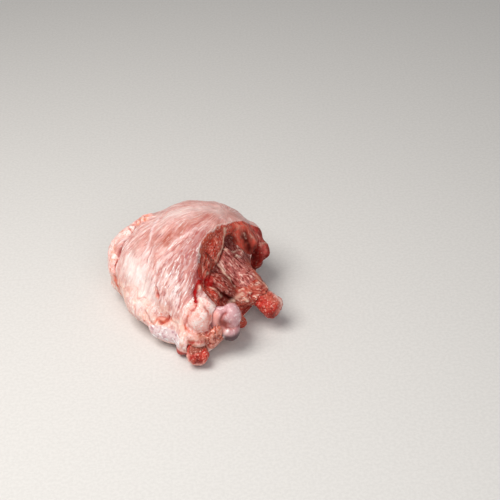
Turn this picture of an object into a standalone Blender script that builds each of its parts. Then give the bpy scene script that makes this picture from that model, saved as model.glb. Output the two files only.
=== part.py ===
"""A raw bone-in lump of beef with its silverskin back, scooped cut face and trimmed joint.

The lump lies flat: the rounded back is up, the knife's scooped cut face looks right, forward
and up, and the joint with its fat, cartilage and bone end lies at the front. A second bone end
sticks out at the right. +X is right, +Y is back, +Z is up. Sizes below are in millimetres, and
places are measured from a point on the rest plane under the lump's middle.
"""
from math import cos, pi, sin
from random import Random

import bmesh
import bpy
from mathutils import Matrix, Vector

MM = 0.001

# Driving dimensions of the whole lump
BACK_WIDTH = 110.0
BACK_LENGTH = 128.0
BACK_HEIGHT = 86.0
WIDEST_HEIGHT = 34.0
BASE_TRIM = 1.5

# Driving dimensions of the scooped cut face
SCOOP_RADIUS = 60.0
SCOOP_DEPTH = 11.0
SCOOP_MIDDLE = Vector((34.0, -27.0, 56.0))
SCOOP_OUTWARD = Vector((0.755, -0.494, 0.431)).normalized()
FLANK_HOLLOW = Vector((70.0, -4.0, 24.0))
LOBE_NOTCH = Vector((67.0, 6.0, 31.0))
DARK_CAVITY = Vector((39.0, -5.0, 60.0))
DARK_GAP = Vector((34.0, -52.0, 43.0))

# Driving dimensions of the pieces that stand out of the lump
STUB_ROOT = Vector((50.0, -28.0, 36.0))
STUB_TIP = Vector((69.0, -41.0, 22.0))
STUB_RADIUS = 10.0
SAW_TRIM = 1.5
SAW_REACH = 20.0
MARROW_RADIUS = 4.5
BONE_SHOWN = 0.55
STUB_THINNER_AT_ROOT = 1.5
BONE_THINNER_AT_ROOT = 2.0
FRONT_BONE = Vector((7.0, -83.0, 11.0))
FAT_LUMP = Vector((11.0, -64.0, 36.0))
TAN_KNOB = Vector((8.0, -76.0, 21.0))
CONDYLE = Vector((34.0, -63.0, 33.0))
FIT_GAP = 0.3

# Driving dimensions of the trimmed fat edge that runs low round the hidden back
SKIRT_LOBES = 9
SKIRT_LOBE = Vector((13.0, 9.0, 7.0))
SKIRT_MIDDLE = Vector((8.0, 2.0, 17.0))
SKIRT_HALF_WIDTH = 50.0
SKIRT_HALF_LENGTH = 58.0
SKIRT_START = 0.20 * pi
SKIRT_END = 0.80 * pi
SKIRT_SEED = 5
SKIRT_RISE = (-4.0, 5.0)
SKIRT_SLANT = (-0.3, 0.3)
SKIRT_SPREAD = (0.8, 1.2)

# Smoothing passes where lumps blend, and the grain and depth of the surface's unevenness
BACK_BLEND = 30
SEAM_BLEND = 3
MUSCLE_BLEND = 2
EDGE_BLEND = 1
MUSCLE_RUFFLE = (24.0, 3.0)
FAT_RUFFLE = (8.0, 1.4)
BONE_RUFFLE = (4.0, 1.6)

# Mesh sizes
FORM_VOXEL = 1.5
MEAT_TRIANGLES = 9900
CARTILAGE_TRIANGLES = 1100
BONE_TRIANGLES = 900

# Directions that the lumps run in or look to
MAUVE_RUN = Vector((0.53, -0.33, -0.78))
MAUVE_OUTWARD = Vector((0.60, -0.50, 0.62))
OVAL_RUN = Vector((0.67, -0.12, -0.73))
OVAL_OUTWARD = Vector((0.50, -0.65, 0.57))
RIM_RUN = Vector((-0.25, -0.82, -0.51))
LOBE_RUN = Vector((0.72, -0.12, -0.68))
LOBE_OUTWARD = Vector((0.60, -0.30, 0.74))
HEEL_RUN = Vector((0.60, -0.45, -0.66))
LEVEL = Vector((1.0, 0.0, 0.0))
UPWARD = Vector((0.0, 0.0, 1.0))


def clear_scene():
    """Remove every object of the open file."""
    for thing in list(bpy.data.objects):
        bpy.data.objects.remove(thing, do_unlink=True)


def new_collection(name):
    """Make a collection in the scene."""
    group = bpy.data.collections.new(name)
    bpy.context.scene.collection.children.link(group)
    return group


def add_object(name, mesh):
    """Put a mesh in the scene as an object."""
    thing = bpy.data.objects.new(name, mesh)
    bpy.context.scene.collection.objects.link(thing)
    return thing


def facing(long_axis, outward):
    """Give the turn that lays a lump's X along one direction and its Z to another."""
    across = outward.cross(long_axis).normalized()
    along = across.cross(outward).normalized()
    return Matrix((along, across, outward.normalized())).transposed().to_4x4()


def lump(name, centre, half_sizes, long_axis=LEVEL, outward=UPWARD):
    """Make a round lump: its half length, half width and half thickness lie along its own axes."""
    shape = bmesh.new()
    bmesh.ops.create_uvsphere(shape, u_segments=40, v_segments=24, radius=1.0)
    stretch = Matrix.Diagonal((*(size * MM for size in half_sizes), 1.0))
    place = Matrix.Translation(Vector(centre) * MM) @ facing(Vector(long_axis), Vector(outward))
    shape.transform(place @ stretch)
    mesh = bpy.data.meshes.new(name)
    shape.to_mesh(mesh)
    shape.free()
    return add_object(name, mesh)


def strand(name, start, stop, first_radius, last_radius, steps=8):
    """Make a tapering row of balls that cross, from one place to another."""
    balls = []
    for step in range(steps):
        part = step / (steps - 1)
        radius = first_radius + (last_radius - first_radius) * part
        balls.append(lump(f"{name}_{step}", start.lerp(stop, part), (radius, radius, radius)))
    return balls


def apply_modifiers(thing):
    """Work the object's modifiers into its mesh."""
    depsgraph = bpy.context.evaluated_depsgraph_get()
    mesh = bpy.data.meshes.new_from_object(thing.evaluated_get(depsgraph))
    thing.modifiers.clear()
    thing.data = mesh
    return thing


def fuse(name, lumps, smoothing):
    """Join lumps that cross into one closed skin and soften the seams between them."""
    joined = bmesh.new()
    for piece in lumps:
        joined.from_mesh(piece.data)
        bpy.data.objects.remove(piece, do_unlink=True)
    mesh = bpy.data.meshes.new(name)
    joined.to_mesh(mesh)
    joined.free()
    return renew_skin(add_object(name, mesh), smoothing)


def renew_skin(thing, smoothing):
    """Lay one even closed skin round the object and smooth it."""
    skin = thing.modifiers.new("skin", 'REMESH')
    skin.mode = 'VOXEL'
    skin.voxel_size = FORM_VOXEL * MM
    soften = thing.modifiers.new("soften", 'SMOOTH')
    soften.factor = 0.5
    soften.iterations = smoothing
    return apply_modifiers(thing)


def carve(thing, cutter, cutters):
    """Take the cutter's shape out of the object and keep the cutter as a guide."""
    cutter.hide_render = True
    cutter.display_type = 'WIRE'
    bpy.context.scene.collection.objects.unlink(cutter)
    cutters.objects.link(cutter)
    cut = thing.modifiers.new("carve", 'BOOLEAN')
    cut.operation = 'DIFFERENCE'
    cut.solver = 'EXACT'
    cut.object = cutter
    return apply_modifiers(thing)


def reduce_triangles(thing, triangles):
    """Thin the mesh out to about this many triangles."""
    now = sum(len(face.vertices) - 2 for face in thing.data.polygons)
    thin = thing.modifiers.new("thin_out", 'DECIMATE')
    thin.ratio = min(1.0, triangles / now)
    return apply_modifiers(thing)


def ruffle(thing, grain, depth):
    """Push the surface in and out by a cloudy pattern, its grain and depth in mm."""
    pattern = bpy.data.textures.new(f"{thing.name}_ruffle_{grain}", 'CLOUDS')
    pattern.noise_scale = grain * MM
    pattern.noise_depth = 1
    push = thing.modifiers.new("ruffle", 'DISPLACE')
    push.texture = pattern
    push.texture_coords = 'LOCAL'
    push.strength = depth * MM
    push.mid_level = 0.5
    return apply_modifiers(thing)


def swollen_copy(thing, margin):
    """Copy the object with its skin moved out by a margin in mm."""
    copy = add_object(f"{thing.name}_socket", thing.data.copy())
    swell = copy.modifiers.new("swell", 'DISPLACE')
    swell.strength = margin * MM
    swell.mid_level = 0.0
    return apply_modifiers(copy)


def flatten_base(thing, height):
    """Cut the object level at a height in mm and close the cut, so that it rests flat."""
    shape = bmesh.new()
    shape.from_mesh(thing.data)
    everything = shape.verts[:] + shape.edges[:] + shape.faces[:]
    cut = bmesh.ops.bisect_plane(
        shape, geom=everything, plane_co=(0, 0, height * MM), plane_no=(0, 0, -1), clear_outer=True
    )
    rim = [item for item in cut["geom_cut"] if isinstance(item, bmesh.types.BMEdge)]
    bmesh.ops.holes_fill(shape, edges=rim, sides=0)
    bmesh.ops.triangulate(shape, faces=shape.faces[:])
    shape.to_mesh(thing.data)
    shape.free()
    return thing


def finish(thing, node, colour, roughness, parts):
    """Name the node, give it its Principled material and put it with the parts."""
    thing.name = node
    thing.data.name = node
    surface = bpy.data.materials.new(node)
    surface.use_nodes = True
    shader = surface.node_tree.nodes["Principled BSDF"]
    shader.inputs["Base Color"].default_value = (*colour, 1.0)
    shader.inputs["Roughness"].default_value = roughness
    shader.inputs["Metallic"].default_value = 0.0
    thing.data.materials.clear()
    thing.data.materials.append(surface)
    thing.data.shade_smooth()
    bpy.context.scene.collection.objects.unlink(thing)
    parts.objects.link(thing)
    return thing


def build_back():
    """Make the rounded back, its left bulge and the fill under the joint, softly blended."""
    crown = BACK_HEIGHT - WIDEST_HEIGHT
    return fuse("back", [
        lump("dome", (10, 2, WIDEST_HEIGHT), (BACK_WIDTH / 2, BACK_LENGTH / 2, crown)),
        lump("left_slope", (-9, 9, 31), (52, 51, 46)),
        lump("left_bulge", (-25, 14, 30), (41, 42, 36)),
        lump("left_foot", (-14, -13, 24), (41, 43, 24)),
        lump("front_fill", (14, -46, 27), (30, 30, 27)),
        lump("joint_neck", (7, -68, 17), (19, 14, 15)),
        lump("rim_shoulder", (52, 24, 44), (14, 17, 15)),
    ], BACK_BLEND)


def build_fringe():
    """Make the folded roll of fat along the left edge, a lobe at a time."""
    return [
        lump("fringe_high", (-34, 52, 38), (11, 9, 9)),
        lump("fringe_upper", (-46, 46, 34), (12, 12, 11)),
        lump("fringe_main", (-55, 30, 31), (12, 17, 16)),
        lump("fringe_low", (-59, 9, 19), (7, 9, 9)),
    ]


def build_fringe_folds():
    """Make the cutters of the folds that part the fat roll from the back."""
    return [
        lump("fold_high", (-44, 17, 62), (15, 2.5, 4), (-0.68, -0.66, -0.3), (-0.4, 0.1, 0.9)),
        lump("fold_main", (-56, 2, 49), (13, 2.5, 4), (-0.31, -0.62, -0.72), (-0.8, -0.2, 0.5)),
        lump("pocket", (-60, -8, 34), (6, 4, 4), (-0.3, -0.4, -0.9), (-0.9, -0.4, 0.1)),
    ]


def build_hidden_seams():
    """Make the cutters of the shallow seams between muscles on the back and right sides."""
    return [
        lump("back_seam", (8, 66, 44), (34, 5, 4), (0.9, -0.1, -0.45), (0.1, 0.9, 0.4)),
        lump("back_low_seam", (-2, 69, 24), (40, 4, 4), (0.98, 0.0, 0.15), (0.0, 1.0, -0.1)),
    ]


def build_skirt():
    """Make the row of trimmed fat lobes that runs low round the hidden back."""
    draw = Random(SKIRT_SEED)
    lobes = []
    for number in range(SKIRT_LOBES):
        turn = SKIRT_START + (SKIRT_END - SKIRT_START) * number / (SKIRT_LOBES - 1)
        rise = draw.uniform(*SKIRT_RISE)
        reach = Vector((SKIRT_HALF_WIDTH * cos(turn), SKIRT_HALF_LENGTH * sin(turn), rise))
        along = Vector((-sin(turn), cos(turn), draw.uniform(*SKIRT_SLANT)))
        outward = Vector((cos(turn), sin(turn), 0))
        size = SKIRT_LOBE * draw.uniform(*SKIRT_SPREAD)
        lobes.append(lump(f"skirt_{number}", SKIRT_MIDDLE + reach, size, along, outward))
    return lobes


def build_joint():
    """Make the lumps of fat and gristle of the trimmed joint, above the front bone end."""
    return [
        lump("granular_lobe", (19, -71, 24), (9, 8, 11)),
        lump("smooth_lobe", (-11, -54, 17), (21, 13, 13)),
        lump("scrap", (-5, -71, 7), (6, 5, 4)),
        lump("knob_seat", (34, -52, 28), (13, 12, 14)),
        lump("side_flap", (44, -55, 26), (5, 6, 14)),
    ]


def build_joint_seams():
    """Make the cutters of the seams that ring the fat lump and the tan knob."""
    return [
        lump("fat_lump_seam", FAT_LUMP + Vector((0, -5, 2)), (13.5, 11, 18)),
        lump("tan_knob_seam", TAN_KNOB + Vector((0, -3, 0)), (10.5, 7, 8)),
    ]


def build_ringed_lumps():
    """Make the lumps that stand in those seams."""
    return [
        lump("fat_lump", FAT_LUMP, (10.5, 12, 14)),
        lump("tan_knob", TAN_KNOB, (8, 9, 6)),
    ]


def build_muscles():
    """Make the muscles that stand in the scooped cut face."""
    return [
        lump("red_lobe", (58, 19, 39), (14, 9, 9.5), LOBE_RUN, LOBE_OUTWARD),
        lump("lobe_underside", (57, 10, 33), (7, 8, 10)),
        lump("mauve_muscle", (39, -15, 45), (25, 16, 9), MAUVE_RUN, MAUVE_OUTWARD),
        lump("oval_muscle", (28, -37, 43), (15, 9, 9), OVAL_RUN, OVAL_OUTWARD),
        lump("small_lobe", (20, -49, 43), (8, 8, 7), OVAL_RUN, OVAL_OUTWARD),
        lump("ragged_flesh", (46, -37, 31), (11, 9, 8)),
        lump("stub_heel", (53, -26, 35), (16, 11.5, 7.5), HEEL_RUN, MAUVE_OUTWARD),
        lump("far_muscle", (23, -12, 65), (17, 12, 8), RIM_RUN, SCOOP_OUTWARD),
        lump("rim_strip", (14, -36, 58), (16, 6, 6), RIM_RUN, SCOOP_OUTWARD),
    ]


def build_meat(cutters):
    """Fuse the back, fringe, joint and muscles into the lump, with its scoop and gaps."""
    body = fuse("body", [build_back()] + build_fringe() + build_skirt() + build_joint(), SEAM_BLEND)
    scoop_centre = SCOOP_MIDDLE + SCOOP_OUTWARD * (SCOOP_RADIUS - SCOOP_DEPTH)
    carve(body, lump("scoop", scoop_centre, (SCOOP_RADIUS, SCOOP_RADIUS, SCOOP_RADIUS)), cutters)
    carve(body, lump("flank_hollow", FLANK_HOLLOW, (18, 30, 36)), cutters)
    carve(body, lump("lobe_notch", LOBE_NOTCH, (10, 10, 11)), cutters)
    for seam in build_joint_seams() + build_fringe_folds() + build_hidden_seams():
        carve(body, seam, cutters)
    flesh_end = STUB_ROOT.lerp(STUB_TIP, 1.0 - BONE_SHOWN)
    stub = strand("stub", STUB_ROOT, flesh_end, STUB_RADIUS - STUB_THINNER_AT_ROOT, STUB_RADIUS)
    meat = fuse("meat", [body] + build_ringed_lumps() + build_muscles() + stub, MUSCLE_BLEND)
    carve(meat, lump("dark_cavity", DARK_CAVITY, (10, 7, 8), UPWARD, SCOOP_OUTWARD), cutters)
    carve(meat, lump("dark_gap", DARK_GAP, (9, 3, 7), OVAL_RUN, OVAL_OUTWARD), cutters)
    renew_skin(meat, EDGE_BLEND)
    ruffle(meat, *MUSCLE_RUFFLE)
    ruffle(meat, *FAT_RUFFLE)
    return meat


def build_cartilage():
    """Make the smooth two-lobed joint head of cartilage."""
    return fuse("cartilage", [
        lump("condyle_left", CONDYLE + Vector((-8, -1, -2)), (8, 9, 12)),
        lump("condyle_right", CONDYLE + Vector((2, 0, 1)), (8, 9, 11)),
        lump("condyle_lower", CONDYLE + Vector((0, -5, -10)), (8.5, 9, 9)),
    ], SEAM_BLEND)


def build_front_bone(cutters):
    """Make the front bone end, its spongy face blunt and notched."""
    bone = fuse("front_bone", [
        lump("bone_face", FRONT_BONE, (9, 8, 8)),
        lump("bone_neck", FRONT_BONE + Vector((0, 6, 4)), (8, 8, 8)),
        lump("bone_left_corner", FRONT_BONE + Vector((-4, -2, 3)), (5, 6, 5)),
        lump("bone_right_corner", FRONT_BONE + Vector((5, -2, 1)), (5, 6, 5)),
    ], MUSCLE_BLEND)
    carve(bone, lump("face_trim", FRONT_BONE + Vector((1, -14, 0)), (12, 7, 12)), cutters)
    renew_skin(bone, EDGE_BLEND)
    ruffle(bone, *BONE_RUFFLE)
    return bone


def build_right_bone(cutters):
    """Make the right bone end, sawn off blunt, with the hollow of its marrow."""
    root = STUB_ROOT.lerp(STUB_TIP, 1.0 - BONE_SHOWN)
    along = (STUB_TIP - STUB_ROOT).normalized()
    root_radius = STUB_RADIUS - BONE_THINNER_AT_ROOT
    bone = fuse("right_bone", strand("bone", root, STUB_TIP, root_radius, STUB_RADIUS), MUSCLE_BLEND)
    saw_face = STUB_TIP + along * (STUB_RADIUS - SAW_TRIM)
    saw = lump("saw_cut", saw_face + along * SAW_REACH, (SAW_REACH, 2 * SAW_REACH, 2 * SAW_REACH), along)
    carve(bone, saw, cutters)
    carve(bone, lump("marrow", saw_face, (MARROW_RADIUS, MARROW_RADIUS, MARROW_RADIUS)), cutters)
    renew_skin(bone, EDGE_BLEND)
    ruffle(bone, *BONE_RUFFLE)
    return bone


def move_to_rest(parts):
    """Bring the whole box's bottom middle to the origin and give the way that it moved."""
    corners = [thing.matrix_world @ Vector(corner) for thing in parts.objects for corner in thing.bound_box]
    low = Vector([min(corner[axis] for corner in corners) for axis in range(3)])
    high = Vector([max(corner[axis] for corner in corners) for axis in range(3)])
    middle = (low + high) / 2
    middle.z = low.z
    for thing in parts.objects:
        thing.data.transform(Matrix.Translation(-middle))
    return -middle


clear_scene()
parts = new_collection("beef_lump")
cutters = new_collection("cutters")

meat = reduce_triangles(build_meat(cutters), MEAT_TRIANGLES)
meat = flatten_base(meat, BASE_TRIM)
cartilage = reduce_triangles(build_cartilage(), CARTILAGE_TRIANGLES)
front_bone = reduce_triangles(build_front_bone(cutters), BONE_TRIANGLES)
right_bone = reduce_triangles(build_right_bone(cutters), BONE_TRIANGLES)
for piece in (cartilage, front_bone, right_bone):
    carve(meat, swollen_copy(piece, FIT_GAP), cutters)

finish(meat, "meat", (0.74, 0.47, 0.42), 0.4, parts)
finish(cartilage, "joint_cartilage", (0.72, 0.58, 0.62), 0.3, parts)
finish(front_bone, "bone_end_front", (0.66, 0.22, 0.19), 0.45, parts)
finish(right_bone, "bone_end_right", (0.72, 0.30, 0.25), 0.45, parts)
moved = move_to_rest(parts)
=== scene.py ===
from itertools import product
from math import radians

import bmesh
import bpy
import numpy as np
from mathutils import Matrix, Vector


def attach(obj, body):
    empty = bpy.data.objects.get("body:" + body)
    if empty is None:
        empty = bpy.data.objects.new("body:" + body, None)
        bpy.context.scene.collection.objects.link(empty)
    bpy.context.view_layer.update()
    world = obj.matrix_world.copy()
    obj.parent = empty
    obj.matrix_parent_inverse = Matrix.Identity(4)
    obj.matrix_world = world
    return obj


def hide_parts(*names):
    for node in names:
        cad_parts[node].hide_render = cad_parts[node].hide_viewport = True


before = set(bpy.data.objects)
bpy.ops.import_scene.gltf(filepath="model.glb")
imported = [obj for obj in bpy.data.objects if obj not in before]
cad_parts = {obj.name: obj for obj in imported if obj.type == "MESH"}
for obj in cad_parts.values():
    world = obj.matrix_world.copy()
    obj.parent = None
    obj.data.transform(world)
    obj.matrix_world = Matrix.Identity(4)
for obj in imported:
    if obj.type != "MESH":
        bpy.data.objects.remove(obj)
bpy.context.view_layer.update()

# Camera
# It stands in front of the lump and looks down on it at about 38 degrees through a long lens,
# with the slight roll of the photograph. Its focal length is measured in the picture's pixels.
MM = 0.001
PICTURE_SIDE = 500
FOCAL_LENGTH = 1240
SENSOR_SIDE = 36.0
CAMERA_PLACE = Vector((47.92, -804.07, 675.5))
CAMERA_TURN = (52.406, 2.654, -2.042)

camera = bpy.data.objects.new("camera", bpy.data.cameras.new("camera"))
bpy.context.scene.collection.objects.link(camera)
camera.location = CAMERA_PLACE * MM
camera.rotation_euler = [radians(turn) for turn in CAMERA_TURN]
camera.data.sensor_width = SENSOR_SIDE
camera.data.lens = FOCAL_LENGTH / PICTURE_SIDE * SENSOR_SIDE
camera.data.clip_end = 20.0
bpy.context.scene.camera = camera

# Studio light
# One large softbox hangs high over the lump's left side, and a weaker one fills from the front right.
# The room is a dim even grey, so that the cut face keeps its depth and the wet places still shine.
KEY_PLACE = Vector((-330, -180, 880))
KEY_SIDE = 600
KEY_POWER = 8.6
FILL_PLACE = Vector((250, -850, 800))
FILL_SIDE = 700
FILL_POWER = 3.6
ROOM_LIGHT = 0.23


def linear(code):
    """Turn an sRGB hex colour into the linear colour that shaders and lights use."""
    parts = [int(code[start:start + 2], 16) / 255 for start in (0, 2, 4)]
    return [part / 12.92 if part <= 0.04045 else ((part + 0.055) / 1.055) ** 2.4 for part in parts] + [1.0]


def hang_softbox(name, place, side, power, colour):
    """Hang a square softbox that looks at the lump."""
    light = bpy.data.lights.new(name, "AREA")
    light.size = side * MM
    light.energy = power
    light.color = linear(colour)[:3]
    lamp = bpy.data.objects.new(name, light)
    lamp.location = place * MM
    lamp.rotation_euler = (-place).to_track_quat("-Z", "Y").to_euler()
    bpy.context.scene.collection.objects.link(lamp)


hang_softbox("key_softbox", KEY_PLACE, KEY_SIDE, KEY_POWER, "FFFAF4")
hang_softbox("fill_softbox", FILL_PLACE, FILL_SIDE, FILL_POWER, "FFFFFF")
room = bpy.data.worlds.new("room")
room.use_nodes = True
room.node_tree.nodes["Background"].inputs["Color"].default_value = linear("F4F4F6")
room.node_tree.nodes["Background"].inputs["Strength"].default_value = ROOM_LIGHT
bpy.context.scene.world = room
bpy.context.scene.view_settings.view_transform = "Standard"

# Floor
# A plain pale sheet of matt card that the lump lies on.
# It is stage, so it isn't part of the model.
FLOOR_SIDE = 6000
FIBRE_AXES = {"X": "fibre_across", "Y": "fibre_over", "Z": "fibre_down"}
CARD_TOOTH = 2.5


def add_node(tree, kind, settings=None, links=None):
    """Add a shader node, with its settings by name and the outputs that feed its inputs."""
    node = tree.nodes.new(kind)
    for name, value in (settings or {}).items():
        if name in node.inputs:
            node.inputs[name].default_value = value
        else:
            setattr(node, name, value)
    for name, output in (links or {}).items():
        tree.links.new(output, node.inputs[name])
    return node


class Finish:
    """A material that is built up from a ground colour: speckles, stains, then its shine."""

    def __init__(self, name, ground):
        self.material = bpy.data.materials.new(name)
        self.material.use_nodes = True
        self.tree = self.material.node_tree
        self.shader = self.tree.nodes["Principled BSDF"]
        self.spots = add_node(self.tree, "ShaderNodeTexCoord").outputs["Object"]
        start = add_node(self.tree, "ShaderNodeRGB").outputs["Color"]
        start.default_value = linear(ground)
        self.colour = start

    def blobs(self, grain, place=None):
        """Noise whose blobs are about a grain in mm across, or whose places another node gives."""
        scale = 1 / (grain * MM) if place is None else 1 / grain
        noise = add_node(self.tree, "ShaderNodeTexNoise", {"Scale": scale, "Detail": 4.0, "Roughness": 0.6},
                         {"Vector": place or self.spots})
        return noise.outputs["Fac"]

    def cover(self, code, amount):
        """Lay a colour over what is there by an amount from another node."""
        layer = add_node(self.tree, "ShaderNodeMixRGB", {"Color2": linear(code)},
                         {"Fac": amount, "Color1": self.colour})
        self.colour = layer.outputs["Color"]

    def mark(self, name):
        """The amount of one of the skin's tissue marks."""
        return add_node(self.tree, "ShaderNodeAttribute", {"attribute_name": name}).outputs["Fac"]

    def fibres(self):
        """Places in the tissue's own grain, where one is a fibre's width, or its length along Z."""
        axes = {axis: self.mark(name) for axis, name in FIBRE_AXES.items()}
        return add_node(self.tree, "ShaderNodeCombineXYZ", links=axes).outputs["Vector"]

    def speckle(self, code, grain, low, high, place=None, where=None):
        """Scatter a colour in blobs, from where their noise passes low to full where it is high."""
        amount = add_node(self.tree, "ShaderNodeMapRange", {"From Min": low, "From Max": high},
                          {"Value": self.blobs(grain, place)}).outputs["Result"]
        if where:
            amount = add_node(self.tree, "ShaderNodeMath", {"operation": "MULTIPLY"},
                              {0: amount, 1: self.mark(where)}).outputs["Value"]
        self.cover(code, amount)

    def stain(self, *stains):
        """Lay a colour over each tissue mark of the skin, the last on top."""
        for name, code in stains:
            self.cover(code, self.mark(name))

    def glow(self, weight, reach, depth):
        """Let light scatter under the surface, with a reach for each colour at a depth in mm."""
        self.shader.inputs["Subsurface Weight"].default_value = weight
        self.shader.inputs["Subsurface Radius"].default_value = reach
        self.shader.inputs["Subsurface Scale"].default_value = depth * MM

    def shine(self, roughness, specular=0.5, coat=0.0, coat_roughness=0.1, grain=None, depth=0.0, place=None,
              dry=None):
        """Set how wet the surface looks, and the fine relief of a grain and depth in mm that breaks it."""
        self.tree.links.new(self.colour, self.shader.inputs["Base Color"])
        self.shader.inputs["Roughness"].default_value = roughness
        self.shader.inputs["Specular IOR Level"].default_value = specular
        self.shader.inputs["Coat Weight"].default_value = coat
        self.shader.inputs["Coat Roughness"].default_value = coat_roughness
        if dry:
            wet = add_node(self.tree, "ShaderNodeMapRange", {"To Min": coat, "To Max": 0.0},
                           {"Value": self.mark(dry)})
            self.tree.links.new(wet.outputs["Result"], self.shader.inputs["Coat Weight"])
        if grain:
            bump = add_node(self.tree, "ShaderNodeBump", {"Strength": 1.0, "Distance": depth * MM},
                            {"Height": self.blobs(grain, place)})
            self.tree.links.new(bump.outputs["Normal"], self.shader.inputs["Normal"])
            self.tree.links.new(bump.outputs["Normal"], self.shader.inputs["Coat Normal"])


floor_mesh = bpy.data.meshes.new("floor")
floor_shape = bmesh.new()
bmesh.ops.create_grid(floor_shape, x_segments=1, y_segments=1, size=FLOOR_SIDE / 2 * MM)
floor_shape.to_mesh(floor_mesh)
floor_shape.free()
floor = bpy.data.objects.new("floor", floor_mesh)
bpy.context.scene.collection.objects.link(floor)
matt_card = Finish("matt_card", "D6D5D3")
matt_card.speckle("DCDBD9", CARD_TOOTH, 0.4, 0.6)
matt_card.shine(0.9, specular=0.3)
floor_mesh.materials.append(matt_card.material)

# The lump as one skin
# The real piece is one cut of raw beef on the bone. The CAD's facets are smoothed away under a fine
# even skin, and every tissue below is worked into it by moving its points, as a sculptor would.
# Places are in mm from the point that the CAD's own sizes start from, a little under the rest plane.
CAD_START = np.array((5.742, -11.669, 1.5))
SKIN_GRID = 0.7
FACET_SMOOTHING = 12
STRAY = 1.1
STRAY_GRAIN = 6.0
FINE_STRAY_GRAIN = 2.5
BEND = 0.35
SWAY_GRAIN = 17.0


class Skin:
    """A piece's fine skin: its places in mm, its square faces and the marks of its tissues."""

    def __init__(self, node, grid, smoothing):
        thing = bpy.data.objects.new(node + "_skin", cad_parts[node].data.copy())
        bpy.context.scene.collection.objects.link(thing)
        remesh = thing.modifiers.new("even_skin", "REMESH")
        remesh.mode = "VOXEL"
        remesh.voxel_size = grid * MM
        soften = thing.modifiers.new("soften", "SMOOTH")
        soften.factor = 0.5
        soften.iterations = smoothing
        depsgraph = bpy.context.evaluated_depsgraph_get()
        self.mesh = bpy.data.meshes.new_from_object(thing.evaluated_get(depsgraph))
        thing.modifiers.clear()
        thing.data = self.mesh
        self.thing = thing
        spots = np.empty(len(self.mesh.vertices) * 3)
        self.mesh.vertices.foreach_get("co", spots)
        self.places = spots.reshape(-1, 3) / MM + CAD_START
        corners = np.empty(len(self.mesh.loops), np.int64)
        self.mesh.loops.foreach_get("vertex_index", corners)
        self.squares = corners.reshape(-1, 4)
        pairs = np.empty(len(self.mesh.edges) * 2, np.int64)
        self.mesh.edges.foreach_get("vertices", pairs)
        self.pairs = pairs.reshape(-1, 2)
        self.marks = {}

    def outward(self):
        """The way out of the skin at each place."""
        first, second, third, fourth = (self.places[self.squares[:, corner]] for corner in range(4))
        facing = np.cross(third - first, fourth - second)
        total = np.stack([np.bincount(self.squares.ravel(), np.repeat(facing[:, axis], 4), len(self.places))
                          for axis in range(3)], 1)
        return total / np.linalg.norm(total, axis=1, keepdims=True)

    def push(self, height):
        """Move the skin out by a height in mm, or in where it is below zero."""
        self.places = self.places + self.outward() * np.asarray(height)[:, None]

    def evened(self, values, rounds):
        """Average the values with their neighbours' this many times."""
        start, stop = self.pairs.T
        columns = np.array(values, float).reshape(len(self.places), -1)
        count = np.bincount(self.pairs.ravel(), minlength=len(columns))[:, None]
        for _ in range(rounds):
            total = np.stack([np.bincount(start, column[stop], len(columns))
                              + np.bincount(stop, column[start], len(columns)) for column in columns.T], 1)
            columns = 0.5 * columns + 0.5 * total / count
        return columns.reshape(np.shape(values))

    def hollow(self, rounds):
        """How deep each place lies below what surrounds it, in mm, and less than zero on a crest."""
        return np.sum((self.evened(self.places, rounds) - self.places) * self.outward(), axis=1)

    def mark(self, name, amount):
        """Keep a tissue mark from 0 to 1 for the material."""
        self.marks[name] = np.clip(amount, 0, 1)

    def finish(self, name, materials, tissue=None):
        """Write the skin, its marks and each face's material into the mesh, and give the piece."""
        spots = (self.places - CAD_START) * MM
        self.mesh.vertices.foreach_set("co", spots.ravel())
        for mark, amount in self.marks.items():
            layer = self.mesh.attributes.new(mark, "FLOAT", "POINT")
            layer.data.foreach_set("value", np.asarray(amount, np.float32))
        self.mesh.materials.clear()
        for material in materials:
            self.mesh.materials.append(material)
        if tissue is not None:
            self.mesh.polygons.foreach_set("material_index", tissue[self.squares[:, 0]].astype(np.int32))
        self.mesh.shade_smooth()
        self.mesh.update()
        self.thing.name = name
        self.mesh.name = name
        return self.thing


def draw_lots(cells, seed):
    """Give each cell of a lattice its own steady number from 0 to 1."""
    mixed = cells[:, 0] * 374761393 + cells[:, 1] * 668265263 + cells[:, 2] * 1440662683 + seed * 974634777
    mixed = mixed & 0xFFFFFFFF
    mixed = ((mixed ^ (mixed >> 13)) * 1274126177) & 0xFFFFFFFF
    return ((mixed ^ (mixed >> 16)) & 0xFFFF) / 65535.0


def cloud(places, grain, seed):
    """Smooth unevenness from -1 to 1, its blobs about a grain in mm across."""
    spots = places / grain
    home = np.floor(spots).astype(np.int64)
    part = spots - home
    part = part * part * (3 - 2 * part)
    total = np.zeros(len(places))
    for step in product((0, 1), repeat=3):
        share = np.prod(np.where(step, part, 1 - part), axis=1)
        total += share * (2 * draw_lots(home + np.array(step), seed) - 1)
    return total


def drift(places, grain, seed):
    """Smooth shifts from -1 to 1 along each axis, their blobs about a grain in mm across."""
    return np.stack([cloud(places, grain, seed + axis) for axis in range(3)], 1)


lump = Skin("meat", SKIN_GRID, FACET_SMOOTHING)
places = lump.places
stray = drift(places, STRAY_GRAIN, 11) + 0.5 * drift(places, FINE_STRAY_GRAIN, 14)
strayed = places + STRAY * stray
bent = places + BEND * stray
sway = drift(places, SWAY_GRAIN, 17)

# Where each tissue lies
# The knife's scoop takes the back away at the right, and the bellies of the muscles stand in it. At
# the front its rim is cut open. These are the same rounded shapes as in the CAD, so each tissue ends
# where its form ends.
UP = (0.0, 0.0, 1.0)
RIGHT = (1.0, 0.0, 0.0)


def unit(way):
    """Scale a direction to length one."""
    return np.array(way, float) / np.linalg.norm(way)


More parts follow.
